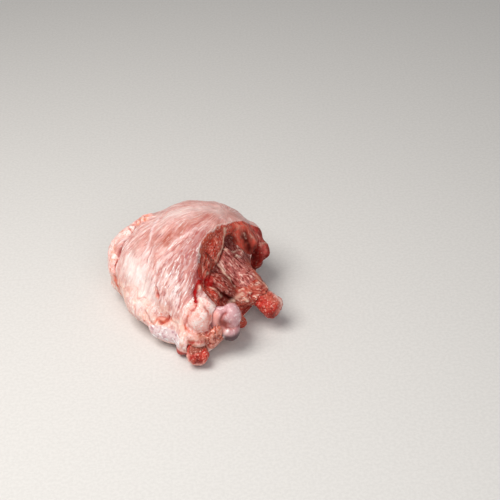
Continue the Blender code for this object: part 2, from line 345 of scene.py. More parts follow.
def along_axes(places, middle, run, facing):
    """Give places along a direction, across it and out of the surface, from a middle, in mm."""
    across = unit(np.cross(facing, run))
    along = np.cross(across, unit(facing))
    return (places - np.array(middle, float)) @ np.stack((along, across, unit(facing))).T


def off_belly(places, middle, sizes, run=RIGHT, facing=UP):
    """Distance in mm outside a rounded belly of muscle or fat, less than zero inside it."""
    local = along_axes(places, middle, run, facing)
    sizes = np.array(sizes, float)
    scaled = np.linalg.norm(local / sizes, axis=1)
    steep = np.linalg.norm(local / sizes ** 2, axis=1)
    return scaled * (scaled - 1) / np.maximum(steep, 1e-6)


def ease(amount):
    """Ease from 0 to 1."""
    amount = np.clip(amount, 0, 1)
    return amount * amount * (3 - 2 * amount)


def within(distance, edge):
    """1 inside a form, easing to 0 at an edge in mm outside it."""
    return ease((edge - distance) / edge)


def patch(places, middle, sizes, run=RIGHT, facing=UP, feather=0.35):
    """1 in a rounded patch and 0 beyond its feathered edge."""
    local = along_axes(places, middle, run, facing)
    reach = np.linalg.norm(local / np.array(sizes, float), axis=1)
    return ease((1 + feather - reach) / (2 * feather))


def near_line(places, points, half_width):
    """1 on a line through the points, falling softly to 0 beyond its half width in mm."""
    best = np.full(len(places), 1e9)
    for start, stop in zip(points[:-1], points[1:]):
        start, stop = np.array(start, float), np.array(stop, float)
        way = stop - start
        part = np.clip((places - start) @ way / (way @ way), 0, 1)
        best = np.minimum(best, np.linalg.norm(places - start - part[:, None] * way, axis=1))
    return np.exp(-(best / half_width) ** 2)


def drawn(places, lines):
    """The strongest at each place of several lines, each given as its points, half width and amount."""
    return np.max([amount * near_line(places, points, width) for points, width, amount in lines], axis=0)


SCOOP_EDGE = 1.0
SOFT_EDGE = 1.5
SCOOP_MIDDLE = np.array((34.0, -27.0, 56.0))
SCOOP_FACING = unit((0.755, -0.494, 0.431))
SCOOP_RADIUS = 60.0
SCOOP_DEPTH = 11.0
MAUVE_RUN = (0.53, -0.33, -0.78)
MAUVE_FACING = (0.60, -0.50, 0.62)
HEEL_RUN = (0.60, -0.45, -0.66)
OVAL_RUN = (0.67, -0.12, -0.73)
OVAL_FACING = (0.50, -0.65, 0.57)
RIM_RUN = (-0.25, -0.82, -0.51)
LOBE_RUN = (0.72, -0.12, -0.68)
LOBE_FACING = (0.60, -0.30, 0.74)
STUB_RUN = (0.74, -0.50, -0.52)
HEEL = ((53, -26, 35), (16, 11.5, 7.5), HEEL_RUN, MAUVE_FACING)
CUT_BELLIES = {
    "far": ((23, -12, 65), (17, 12, 8), RIM_RUN, SCOOP_FACING),
    "strip": ((14, -36, 58), (16, 6, 6), RIM_RUN, SCOOP_FACING),
    "mauve": ((39, -15, 45), (25, 16, 9), MAUVE_RUN, MAUVE_FACING),
    "oval": ((28, -37, 43), (15, 9, 9), OVAL_RUN, OVAL_FACING),
    "small": ((20, -49, 43), (8, 8, 7), OVAL_RUN, OVAL_FACING),
}
RED_BELLIES = {
    "lobe": ((58, 19, 39), (14, 9, 9.5), LOBE_RUN, LOBE_FACING),
    "lobe_top": ((61, 20, 50), (7, 6, 8)),
    "underside": ((57, 10, 33), (7, 8, 10)),
    "ragged": ((46, -37, 31), (11, 9, 8)),
    "stub": ((56, -32, 31), (13, 10, 10), STUB_RUN, UP),
    "seat": ((34, -52, 28), (13, 12, 14)),
    "flap": ((44, -55, 26), (5, 6, 14)),
    "stub_root": ((47, -38, 17), (9, 8, 9)),
}
FAT_BELLIES = {
    "fat_lump": ((11, -64, 36), (10.5, 12, 14)),
    "tan_knob": ((8, -76, 21), (8, 9, 6)),
    "granular": ((19, -71, 24), (9, 8, 11)),
    "scrap": ((-5, -71, 7), (6, 5, 4)),
}
FLANK = ((70, -4, 24), (18, 30, 36))
CAVITY = ((39, -4, 60), (13, 10, 11), UP, SCOOP_FACING)
SHOULDERS = (((54, 12, 60), (17, 20, 19)), ((44, 5, 71), (9, 9, 8)))
SHOULDER_EDGE = np.array((46.8, 11.5, 71.5))
SHOULDER_EDGE_FACING = unit((-0.737, 0.664, 0.13))
SHOULDER_BACK = 25.0
OPEN_RIM = (
    (((15, -47, 61), (11, -52, 60), (9, -57, 56)), 2.5, 1.0),
    (((9, -57, 56), (8.5, -60, 52), (9, -65, 49)), 1.7, 1.0),
    (((10, -55, 58), (13, -51, 61), (17, -45, 56)), 3.4, 1.0),
)
RIM_STRAY = 0.6
FLANK_SWAY = 3.0
FLESH_BORDER = 2.0
FAT_OVERLAP = 2.0
FAT_OVERLAP_EDGE = 2.5
JOINT_FAT_REACH = 4.5
JOINT_FAT_EDGE = 3.5

scoop_middle = SCOOP_MIDDLE + SCOOP_FACING * (SCOOP_RADIUS - SCOOP_DEPTH)
off_scoop = np.linalg.norm(strayed - scoop_middle, axis=1) - SCOOP_RADIUS
bellies = {**CUT_BELLIES, **RED_BELLIES, **FAT_BELLIES}
off = {name: off_belly(places, *belly) for name, belly in bellies.items()}
off["mauve"] = np.minimum(off["mauve"], off_belly(places, *HEEL))
nearest_cut = np.min([off[name] for name in CUT_BELLIES], axis=0)
nearest_red = np.min([off[name] for name in RED_BELLIES], axis=0)
nearest_fat = np.min([off[name] for name in FAT_BELLIES], axis=0)
in_scoop = np.maximum(within(off_scoop, SCOOP_EDGE), patch(places, *CAVITY, feather=0.1))
off_flank = off_belly(places + FLANK_SWAY * sway + 0.5 * stray, *FLANK)
in_flank = within(off_flank, SOFT_EDGE)
shoulder = np.max([patch(strayed, *blob, feather=0.12) for blob in SHOULDERS], axis=0)
before_back = ease((SHOULDER_BACK - strayed[:, 1]) / SOFT_EDGE)
shoulder *= before_back * ease((SHOULDER_EDGE - strayed) @ SHOULDER_EDGE_FACING)
open_rim = ease(3.0 * drawn(strayed + RIM_STRAY * stray, OPEN_RIM) - 1.2)
red = np.max([shoulder, open_rim, within(nearest_red - 0.5 * stray[:, 0], SOFT_EDGE)], axis=0)
cut = np.max([in_scoop, in_flank, within(nearest_cut, SOFT_EDGE)], axis=0)
over_fat = FAT_OVERLAP - nearest_fat + np.minimum(nearest_cut, nearest_red)
flesh = np.maximum(red, cut) * (1 - ease(over_fat / FAT_OVERLAP_EDGE))
flesh = np.maximum(flesh, open_rim)
red_share = ease(0.5 + (nearest_cut - nearest_red) / FLESH_BORDER)
red_share *= 1 - in_flank * ease((nearest_red - 1.0) / SOFT_EDGE)
red_share = np.max([red_share, open_rim, shoulder * ease((nearest_cut - 0.5) / SOFT_EDGE)], axis=0)
joint_fat = ease((JOINT_FAT_REACH - nearest_fat) / JOINT_FAT_EDGE) * (1 - flesh)
is_flesh = flesh > 0.5
is_torn = is_flesh & (red_share > 0.5)

# Silverskin over the back
# A thin tough membrane with a film of fat under it wraps the rounded back. It is drawn into fine
# folds that fan out from the top of the scoop, over the back and down to the left and the front.
# Creases and crests cross them where it slips over the muscles, and the muscle tints it from below.
HERE = (0.0, 0.0, 0.0)
FAN_POLE = np.array((37.0, 18.0, 78.0))
FAN_MIDDLE = np.array((8.0, -2.0, 24.0))
FAN_RADIUS = 58.0
# Each set of folds is its width, its length and its height.
FOLDS = ((9.0, 70.0, 0.12), (4.2, 30.0, 0.12), (2.2, 14.0, 0.07), (1.4, 8.0, 0.03))
FAN_SWAY = 3.0
FOLD_SPACING = 5.0
FOLD_LENGTH = 40.0
FOLD_LINE = 0.10
FOLD_DEPTH = 0.16
CRINKLE = 0.07
CRINKLE_SPACING = 2.0
TIGHT_ZONE = ((0, -45, 60), (48, 30, 34))
FILM_ZONE = ((-8, -48, 56), (24, 18, 24))
FINE_STREAK = (1.3, 6.0)
BROAD_STREAK = (2.6, 15.0)
THREAD = np.array((1.5, 1.5, 6.5))
PATCH_GRAIN = 6.0
# A drawn line, here and below, is its points, its half width and its amount.
SALMON = (
    (((32, -10, 80), (21, 4, 85), (6, -7, 85), (-6, -13, 81)), 6.0, 0.8),
    (((-6, -14, 81), (-15, -15, 78), (-23, -10, 74)), 7.5, 1.0),
    (((-29, 0, 72), (-38, -3, 67), (-41, -10, 62)), 4.5, 0.7),
    (((44, 20, 73), (36, 12, 79)), 5.0, 0.5),
)
FLUSHED = (
    (((17, -20, 82), (9, -31, 78), (3, -35, 76), (-3, -41, 71)), 10.0, 1.0),
    (((10, -20, 82), (2, -28, 78)), 6.0, 0.7),
    (((20, -19, 82), (15, -30, 76), (11, -40, 72), (9, -48, 65), (8, -56, 56)), 6.5, 1.0),
)
PEARLY = (
    (((-20, 12, 78), (5, 14, 84), (28, 18, 82)), 8.0, 0.35),
    (((-16, -38, 66), (-11, -49, 57), (-9, -56, 48)), 6.0, 0.3),
    (((-43, -19, 53), (-37, -28, 47), (-32, -39, 41)), 12.0, 1.0),
    (((-60, 20, 40), (-57, 33, 45), (-46, 40, 50)), 5.0, 0.5),
)
CREASES = (
    (((21, 4, 85), (17, -1, 85), (12, -6, 85), (7, -11, 84)), 1.6, 0.6),
    (((13, -15, 83), (7, -18, 83), (-3, -24, 79), (-10, -28, 76)), 1.2, 1.0),
    (((0, -30, 78), (-7, -32, 75), (-13, -35, 70), (-20, -37, 64), (-23, -38, 59)), 1.2, 1.0),
    (((-3, -49, 63), (-3, -55, 54), (-5, -61, 45)), 1.3, 0.7),
    (((-25, -15, 72), (-28, -19, 67), (-31, -24, 62)), 1.0, 0.7),
)
CRESTS = (
    (((12, -12, 84), (-5, -21, 80), (-12, -25, 76)), 1.3, 0.7),
    (((-9, -30, 75), (-22, -34, 65)), 1.3, 0.6),
    (((-20, 16, 76), (-25, 3, 75), (-28, -8, 72), (-29, -14, 68), (-34, -18, 63)), 1.6, 0.9),
    (((-23, -14, 73), (-26, -19, 68), (-29, -24, 63), (-33, -25, 57)), 1.3, 0.6),
    (((-6, -45, 66), (-7, -51, 58), (-7, -57, 48)), 2.0, 0.7),
)
CREASE_DEPTH = 0.5
CREST_HEIGHT = 0.5
LOW_SKIN = 46.0
LOW_FADE = 14.0
WHORL_REACH = 24.0
RIM_LIP_OUT = 1.8
RIM_LIP_HALF_WIDTH = 1.3
RIM_LIP_HEIGHT = 0.25

fan_way = bent + FAN_SWAY * sway - FAN_MIDDLE
fan_local = along_axes(fan_way, HERE, UP, FAN_POLE - FAN_MIDDLE)
fan_turn = np.arctan2(fan_local[:, 1], fan_local[:, 0])
fan_fall = np.arccos(np.clip(fan_local[:, 2] / np.linalg.norm(fan_way, axis=1), -1, 1))
fan_places = FAN_RADIUS * np.stack((np.cos(fan_turn), np.sin(fan_turn), fan_fall), 1)


def fan(width, length, seed):
    """Unevenness drawn out along the membrane's folds, of a width and a length in mm."""
    return cloud(fan_places / np.array((width, width, length)), 1.0, seed)


def veins(unevenness, width):
    """1 on the lines where an unevenness passes zero, easing to 0 where it reaches a width."""
    return ease(1 - np.abs(unevenness) / width)


def band(distance, middle, half_width):
    """1 at a distance in mm, falling softly to 0 beyond a half width to either side."""
    return np.exp(-((distance - middle) / half_width) ** 2)


membrane = (1 - flesh) * (1 - joint_fat)
off_whorl = 0.3 + 0.7 * ease(np.linalg.norm(places - FAN_POLE, axis=1) / WHORL_REACH)
tight = 0.35 + 0.65 * patch(places, *TIGHT_ZONE, feather=0.6)
folds = sum(height * fan(width, length, 21 + number) for number, (width, length, height) in enumerate(FOLDS))
fold_lines = veins(fan(FOLD_SPACING, FOLD_LENGTH, 31), FOLD_LINE)
creases = drawn(strayed, CREASES)
crests = drawn(strayed, CRESTS)
rim_lip = band(off_scoop, RIM_LIP_OUT, RIM_LIP_HALF_WIDTH) * (1 - flesh)
lump.push(membrane * tight * off_whorl * (folds - FOLD_DEPTH * fold_lines)
          + membrane * CRINKLE * cloud(strayed, CRINKLE_SPACING, 32) + RIM_LIP_HEIGHT * rim_lip
          + membrane * (CREST_HEIGHT * crests - CREASE_DEPTH * creases))
fine = fan(*FINE_STREAK, 41)
broad = fan(*BROAD_STREAK, 42)
patchy = cloud(strayed, PATCH_GRAIN, 43) + 0.5 * cloud(strayed, PATCH_GRAIN / 2, 44)
film_zone = patch(strayed, *FILM_ZONE, feather=0.7)
salmon = drawn(strayed, SALMON)
flushed = drawn(strayed, FLUSHED)
pearly = drawn(strayed, PEARLY)
low = ease((LOW_SKIN - places[:, 2]) / LOW_FADE)
# The plain numbers in a mark are the shares that each unevenness has in it.
lump.mark("salmon", salmon * (0.8 + 0.6 * broad + 0.4 * fine + 0.35 * patchy) + 0.15 * patchy)
lump.mark("flush", np.maximum(flushed * (0.9 + 0.4 * fine) + 0.15 * broad, 0.85 * creases))
lump.mark("pearl", pearly * (0.75 + 0.3 * patchy + 0.2 * broad))
# Pale streaks of the film, and the crests painted pale along their lines, a painted highlight.
lump.mark("film_and_crest_light", ease((fine + 0.5 * broad - 0.05) / 0.35) * (0.2 + 0.25 * film_zone) * (1 - 0.6 * salmon)
          * off_whorl + 0.6 * crests)
lump.mark("rose", ease((-fine - 0.5 * broad - 0.10) / 0.5) * (0.25 + 0.35 * film_zone) * (1 - 0.6 * pearly)
          * off_whorl)
# Where glints are painted on the threads.
lump.mark("sheen", (0.4 + 0.35 * film_zone + 0.6 * patchy) * (1 - 0.5 * salmon) * off_whorl)
lump.mark("blush", (0.45 + 0.5 * film_zone + 0.4 * flushed - 0.6 * patchy) * (1 - 0.6 * pearly)
          * (1 - 0.6 * low) * off_whorl)
lump.mark("low", low)

# Fat of the joint, the fringe and the trimmed edge
# Soft fat lies in small lobes parted by pink seams: over the joint, in the roll along the left edge
# and in the trimmed row low round the back. Orange pockets show where it was pulled apart, and one
# lobe at the front keeps its smooth wet skin.
FRINGE = (((-34, 52, 38), (11, 9, 9)), ((-46, 46, 34), (12, 12, 11)), ((-55, 30, 31), (12, 17, 16)),
          ((-59, 9, 19), (7, 9, 9)), ((-33, -50, 16), (7, 9, 8)))
ROLL = ((-33, 26, 67), (-43, 27, 61), (-52, 26, 54), (-61, 20, 45), (-62, 11, 43), (-60, 2, 41))
ROLL_HALF_WIDTH = 8.5
ROLL_BULGE = 3.2
SMOOTH_LOBE = ((-28, -60, 18), (-18, -64, 19), (-9, -70, 18))
SMOOTH_HALF_WIDTH = 8.0
FORM_EDGE = 2.0
FRINGE_HEIGHT = 1.2
LOBULE_GRAIN = 8.0
LOBULE_SWAY = 4.0
LOBULE_HEIGHT = 0.8
LOBULE_BUMP_GRAIN = 5.0
SEAM_WIDTH = 2.0
SEAM_PATCH_GRAIN = 11.0
LOW_BACK_TOP = 26.0
LOW_BACK_FADE = 6.0
LOW_BACK_START = 20.0
LOW_BACK_RISE = 15.0
GRANULAR_REACH = 4.5
GRANULAR_EDGE = 2.5
CRINKLE_GRAIN = 3.0
CRINKLE_LINE = 0.22
CRINKLE_DEPTH = 1.5
SMOOTH_RIPPLE_GRAIN = 4.5
SMOOTH_RIPPLE = 0.5
LOW_LOBE_GRAIN = 9.0
LOW_SEAM_LINE = 0.16
LOW_SEAM_DEPTH = 0.5
LOW_PATCH_GRAIN = 12.0
MOTTLE_GRAIN = 3.2
POCKETS = (
    (((-61, -6, 38), (-60, -7, 33), (-58, -10, 29)), 3.4, 1.0),
    (((-24, -45, 49), (-23, -47, 45)), 2.2, 0.9),
    (((-58, -6, 18), (-57, -10, 12)), 2.0, 0.8),
    (((-22, -59, 28), (-18, -60, 29), (-14, -58, 31)), 2.6, 1.0),
    (((-35, -50, 22), (-30, -56, 17)), 2.4, 0.6),
    (((8, -67, 49), (4, -69, 45), (1, -70, 41)), 2.0, 1.0),
    (((0, -70, 39), (-1, -70, 35), (-1, -70, 31), (1, -74, 27)), 1.5, 0.9),
    (((17, -68, 46), (19, -73, 41), (19, -75, 36), (18, -76, 32)), 2.4, 0.9),
)


def lobules(places, grain, seed):
    """Distances in mm to the middles of the nearest and the next of scattered lobules."""
    spots = places / grain
    home = np.floor(spots).astype(np.int64)
    nearest = np.full(len(spots), 9.0)
    second = nearest.copy()
    for step in product((-1, 0, 1), repeat=3):
        cell = home + np.array(step)
        middle = cell + np.stack([draw_lots(cell, seed + axis) for axis in range(3)], 1)
        away = np.linalg.norm(middle - spots, axis=1)
        second = np.minimum(second, np.maximum(nearest, away))
        nearest = np.minimum(nearest, away)
    return nearest * grain, second * grain


roll = near_line(strayed, ROLL, ROLL_HALF_WIDTH)
fringe = within(np.min([off_belly(strayed, *belly) for belly in FRINGE], axis=0), FORM_EDGE)
fringe = np.maximum(fringe, ease(2.2 * roll - 0.3)) * (1 - flesh)
lump.push(ROLL_BULGE * roll)
low_back = ease((LOW_BACK_TOP - strayed[:, 2]) / LOW_BACK_FADE)
low_back *= ease((strayed[:, 1] - LOW_BACK_START) / LOW_BACK_RISE)
smooth_lobe = ease(2.2 * near_line(strayed, SMOOTH_LOBE, SMOOTH_HALF_WIDTH) - 0.5)
crinkled = ease((GRANULAR_REACH - off["granular"]) / GRANULAR_EDGE) * (1 - within(off["fat_lump"], FORM_EDGE))
lobed = np.clip(fringe + low_back + 0.5 * joint_fat, 0, 1) * (1 - flesh) * (1 - smooth_lobe) * (1 - crinkled)
nearest, second = lobules(strayed + LOBULE_SWAY * sway, LOBULE_GRAIN, 51)
lobe_seam = 1 - ease((second - nearest) / SEAM_WIDTH)
lobe_seam *= ease(0.6 + 1.2 * cloud(strayed, SEAM_PATCH_GRAIN, 52))
crinkle = veins(cloud(strayed, CRINKLE_GRAIN, 61), CRINKLE_LINE)
low_seam = membrane * low * veins(cloud(strayed, LOW_LOBE_GRAIN, 55), LOW_SEAM_LINE)
low_seam *= ease(0.4 + 1.5 * cloud(strayed, LOW_PATCH_GRAIN, 56))
lobe_height = lobed * (LOBULE_HEIGHT + (FRINGE_HEIGHT - LOBULE_HEIGHT) * fringe)
lobe_bumps = 0.4 - lobe_seam + 0.5 * cloud(strayed, LOBULE_BUMP_GRAIN, 53)
lump.push(lobe_height * lobe_bumps * (1 - 0.5 * joint_fat)
          + crinkled * CRINKLE_DEPTH * (0.4 - crinkle)
          + SMOOTH_RIPPLE * smooth_lobe * cloud(strayed, SMOOTH_RIPPLE_GRAIN, 54) - LOW_SEAM_DEPTH * low_seam)
fat_mottle = cloud(strayed, MOTTLE_GRAIN, 62) + 0.6 * cloud(strayed, MOTTLE_GRAIN / 2, 63)
lump.mark("grease", (fringe + 0.6 * low_back) * ease((fat_mottle - 0.25) / 0.5) * 0.9)
lump.mark("seam", lobed * lobe_seam * (0.3 + 0.3 * fringe))
lump.mark("granular", crinkled * (0.85 + 0.3 * fat_mottle))
lump.mark("crinkle", crinkled * crinkle)
lump.mark("tan", within(off["tan_knob"], FORM_EDGE) * (0.8 + 0.3 * fat_mottle))
lump.mark("smooth", smooth_lobe * (1 - within(off["scrap"], FORM_EDGE / 2)))
lump.mark("scrap", within(off["scrap"], SOFT_EDGE))
lump.mark("pocket", drawn(strayed, POCKETS) * (0.8 + 0.5 * fat_mottle) + 0.5 * low_seam * (1 - smooth_lobe))

# Cut muscles in the scoop
# The knife went through several muscles. Each shows its own grain and colour on the cut, and thin
# pale sheets of sinew part them. The sizes are a fibre's width and length and how high it stands.
CUT_GRAINS = {"far": (1.5, 3.0, 0.12), "strip": (1.5, 8.0, 0.14), "mauve": (1.5, 7.5, 0.34),
              "oval": (1.5, 4.0, 0.16), "small": (1.5, 3.4, 0.18)}
MAUVE_SHARES = {"far": 0.0, "strip": 0.0, "mauve": 0.9, "oval": 0.45, "small": 0.05}
# Painted shade over whole muscles, most on the oval, which faces the light.
MUSCLE_SHADE = {"far": 0.0, "strip": 0.05, "mauve": 0.03, "oval": 0.3, "small": 0.08}
FLOOR_MAUVE = 0.08
MAUVE_TOP = 62.0
MAUVE_FADE = 6.0
FLOOR_OFF = 6.0
FAR_OFF = 20.0
SHARE_FALL = 0.8
BUNDLE_SPLIT = 2.1
FLOOR_WAVE = 0.3
FLOOR_WAVE_GRAIN = 7.0
PARTING_HALF_WIDTH = 0.8
PARTING_REACH = 2.5
PARTING_DEPTH = 0.8
# Painted shade: the cavity at the top of the scoop, the gap between the shoulder and the lobe, the upper end
# of the mauve muscle, the crescent along the lower edge of the oval, under the lobe and low on the right
# flank.
PAINTED_SHADE_PLACES = (
    (((34, 0, 56), (37, 2, 60), (40, 2, 58), (43, -1, 55)), 6.5, 0.4),
    (((43, -2, 54), (48, -4, 53), (51, -7, 45)), 5.0, 0.5),
    (((50, 2, 66), (51, 1, 59), (52.5, 0, 54.5), (54, -1, 49), (55, -1.5, 46), (57, 4, 40)), 4.2, 0.9),
    (((36, -8, 58), (41, -14, 56), (46, -12, 52)), 4.5, 0.5),
    (((22, -43, 51), (25, -45, 47), (28, -46, 44), (32, -46, 39), (36, -44, 35)), 1.8, 1.0),
    (((56, 2, 50), (59, 6, 42), (59, 4, 36)), 5.0, 0.8),
    (((60, -12, 22), (58, 2, 14)), 16.0, 0.7),
)
RAW_PLACES = (
    (((22, -16, 82), (18, -22, 80), (15, -29, 75)), 4.0, 0.6),
    (((55, -13, 47), (57, -19, 43), (60, -26, 40)), 4.2, 1.0),
    (((40, -38, 40), (46, -40, 39), (52, -38, 40)), 3.0, 0.35),
)

# A muscle's share falls off outside its belly, and the floor counts as one more at a fixed distance.
off_cut = np.stack([off[name] for name in CUT_BELLIES], 1)
closeness = np.exp(-np.clip(off_cut, 0, FAR_OFF) / SHARE_FALL)
shares = closeness / (closeness.sum(axis=1) + np.exp(-FLOOR_OFF / SHARE_FALL))[:, None]
nearest_belly = np.argmin(off_cut, axis=1)
cut_grain = np.zeros(len(places))
grain_height = np.zeros(len(places))
cut_fibres = np.zeros((len(places), 3))
for number, (name, (width, length, height)) in enumerate(CUT_GRAINS.items()):
    local = along_axes(bent, HERE, *CUT_BELLIES[name][2:]) / np.array((length, width, width))
    bundles = 0.6 * cloud(local, 1.0, 71 + number) + 0.4 * cloud(local * BUNDLE_SPLIT, 1.0, 81 + number)
    cut_grain += shares[:, number] * bundles
    grain_height += shares[:, number] * height
    cut_fibres[nearest_belly == number] = local[nearest_belly == number]
nearest_off, next_off = np.sort(off_cut, axis=1)[:, :2].T
parting = band(next_off, nearest_off, PARTING_HALF_WIDTH) * within(nearest_off, PARTING_REACH)
cut_part = flesh * (1 - red_share)
floor_wave = FLOOR_WAVE * cloud(strayed, FLOOR_WAVE_GRAIN, 90)
lump.push(cut_part * (cut_grain * grain_height + floor_wave - PARTING_DEPTH * parting))
mauve = FLOOR_MAUVE + shares @ (np.array(list(MAUVE_SHARES.values())) - FLOOR_MAUVE)
mauve *= 1 - ease((places[:, 2] - MAUVE_TOP) / MAUVE_FADE)
lump.mark("mauve", mauve + 0.2 * cloud(strayed, 5.0, 92))
# Painted glints: the high places of the grain are painted pale, most on the mauve muscle.
lump.mark("glint", ease((cut_grain - 0.22) / 0.3) * (0.15 + 0.85 * mauve))
# Painted shade: the low places of the grain are painted darker.
lump.mark("deep", ease((-cut_grain - 0.15) / 0.4) * (0.4 + 0.6 * mauve))
# The shade mark is painted shade: along those places, in the partings between the muscles, and over whole
# muscles by their share.
painted_shade = drawn(strayed, PAINTED_SHADE_PLACES)
muscle_shade = shares @ np.array(list(MUSCLE_SHADE.values()))
lump.mark("shade", np.maximum(painted_shade * (0.85 + 0.3 * cloud(strayed, 3.0, 91)), 0.8 * parting * cut_part) + muscle_shade)
lump.mark("raw", drawn(strayed, RAW_PLACES) * (0.8 + 0.5 * fat_mottle))

# Torn red flesh of the shoulder, the lobe and the stub
# At the right the flesh was torn rather than cut: a bright red lobe hangs over a hollow, and ragged
# orange-pink tissue wraps the root of the sawn bone.
TORN_GRAIN = 2.2
TORN_HEIGHT = 0.9
SOFT_HEIGHT = 0.6
TEAR_LINE = 0.2
SHRED_EDGE = 2.5
SHRED_WIDTH = 1.5
SHRED_STRETCH = 2.8
SHOULDER_RUN = (0.3, -0.6, -0.74)
SHOULDER_STRETCH = 7.0
# The lobe's top ridge, which is painted paler where light catches it.
LOBE_RIDGE = ((54, 16, 63), (57, 17.5, 59), (61.5, 16, 51.5), (64.5, 14.5, 44), (66, 12, 39))
RIDGE_HALF_WIDTH = 3.5
SHREDDED = {"ragged": 1.0, "stub": 0.85, "seat": 0.35, "flap": 0.3}

shredded = np.clip(sum(amount * within(off[name], SHRED_EDGE) for name, amount in SHREDDED.items()), 0, 1)
shoulder_part = shoulder * ease(nearest_red - 0.5)
shoulder_shreds = along_axes(bent, HERE, SHOULDER_RUN, SCOOP_FACING) / np.array((SHOULDER_STRETCH, 1.0, 1.0))
stub_shreds = along_axes(bent, HERE, STUB_RUN, UP) / np.array((SHRED_STRETCH, 1.0, 1.0))
shreds = np.where((shoulder_part > 0.5)[:, None], shoulder_shreds, stub_shreds)
torn = 0.5 * cloud(shreds, TORN_GRAIN, 101) + 0.35 * cloud(shreds, TORN_GRAIN / 2, 102)
torn += 0.4 * cloud(strayed, TORN_GRAIN * 2.2, 103)
tear = veins(cloud(shreds, TORN_GRAIN * 1.4, 104), TEAR_LINE)
red_part = flesh * red_share
shredded_height = TORN_HEIGHT * (1.3 * torn - 0.3 * tear)
lump.push(red_part * (shredded * shredded_height + (1 - shredded) * SOFT_HEIGHT * torn))
lump.mark("browned", 0.9 * shoulder_part)
# Painted light: the lobe is painted paler along its top ridge.
lump.mark("painted_ridge_light", near_line(strayed, LOBE_RIDGE, RIDGE_HALF_WIDTH) * (0.7 + 0.6 * torn))
lump.mark("shredded", red_part * shredded * (0.7 + 0.5 * torn))
lump.mark("torn", ease((torn - 0.15) / 0.5) * (0.5 + 0.5 * shredded))
lump.mark("tear", tear * (0.3 + 0.4 * shredded))

# Nicks, seams, sheets of sinew and painted glints
# The knife left nicks in the fat, and a little blood lies in them and along the rim. Thin pale
# sheets of sinew stand a little out of the cut between the muscles, and small pale marks like them
# are painted as glints in the cavity, on the ragged tissue and on the lobe.
# A nick is its points, its half width, its depth and how much blood lies in it.
NICKS = (
    (((-23, -44, 52), (-24, -46, 47)), 1.1, 1.2, 0.25),
    (((-24, -47, 47), (-22, -47, 45)), 1.7, 1.6, 0.35),
    (((-34, -48, 31), (-30, -54, 25), (-26, -60, 23)), 1.2, 0.9, 0.1),
    (((-22, -59, 27), (-18, -60, 28), (-14, -58, 31)), 1.7, 1.9, 0.45),
    (((9, -67, 50), (5, -70, 47), (2, -71, 44)), 1.3, 1.0, 0.9),
    (((1, -69, 41), (-1, -69, 32), (-1, -74, 29), (1, -78, 25)), 0.9, 0.5, 0.5),
    (((17, -67, 47), (18, -72, 42), (18, -70, 30), (15, -74, 26)), 1.3, 0.4, 0.5),
    (((22, -43, 51), (25, -45, 47), (28, -46, 44), (32, -46, 39), (36, -44, 35)), 1.5, 1.6, 0.0),
    (((11, -44, 67), (9, -52, 61), (8.5, -58, 55), (9, -64, 50)), 2.1, 0.9, 1.0),
    (((2, -80, 22), (5, -82, 24), (11, -82, 24), (14, -80, 21)), 1.3, 1.0, 0.9),
    (((-30, 27, 66), (-36, 26, 63), (-45, 16, 61), (-53, 8, 55), (-57, 1, 48), (-59, -4, 41)), 1.8, 2.2, 0.5),
    (((46, -40, 38.5), (49, -42, 35.5)), 1.1, 1.0, 0.9),
    (((41, -38, 39), (44, -40, 38.5)), 0.9, 0.8, 0.8),
    (((53, -42, 34), (55, -38, 36)), 1.0, 1.0, 0.8),
    (((-62, 10, 40), (-58, 22, 50)), 1.1, 1.2, 0.5),
    (((-50, 30, 52), (-44, 34, 58), (-36, 36, 62)), 1.1, 1.2, 0.5),
)
BLOOD_SPOT = ((9, -56, 57), (12, -52, 60), (14, -49, 60), (16, -46, 56), (19, -43, 54))
BLOOD_HALF_WIDTH = 4.0
MEMBRANE_EDGE_OUT = 1.5
MEMBRANE_EDGE_HALF_WIDTH = 0.35
MEMBRANE_EDGE_LOW = 68.0
MEMBRANE_EDGE_RISE = 6.0
FLANK_EDGE_OUT = 1.0
FLANK_EDGE_HALF_WIDTH = 0.8
FLANK_EDGE_LEFT = 60.0
FLANK_EDGE_RISE = 4.0
# Painted shade in hollows: hollows are looked for at two sizes, each with its rounds of evening and its full
# depth.
SHADED_HOLLOW_SIZES = ((5, 0.25), (80, 2.2))
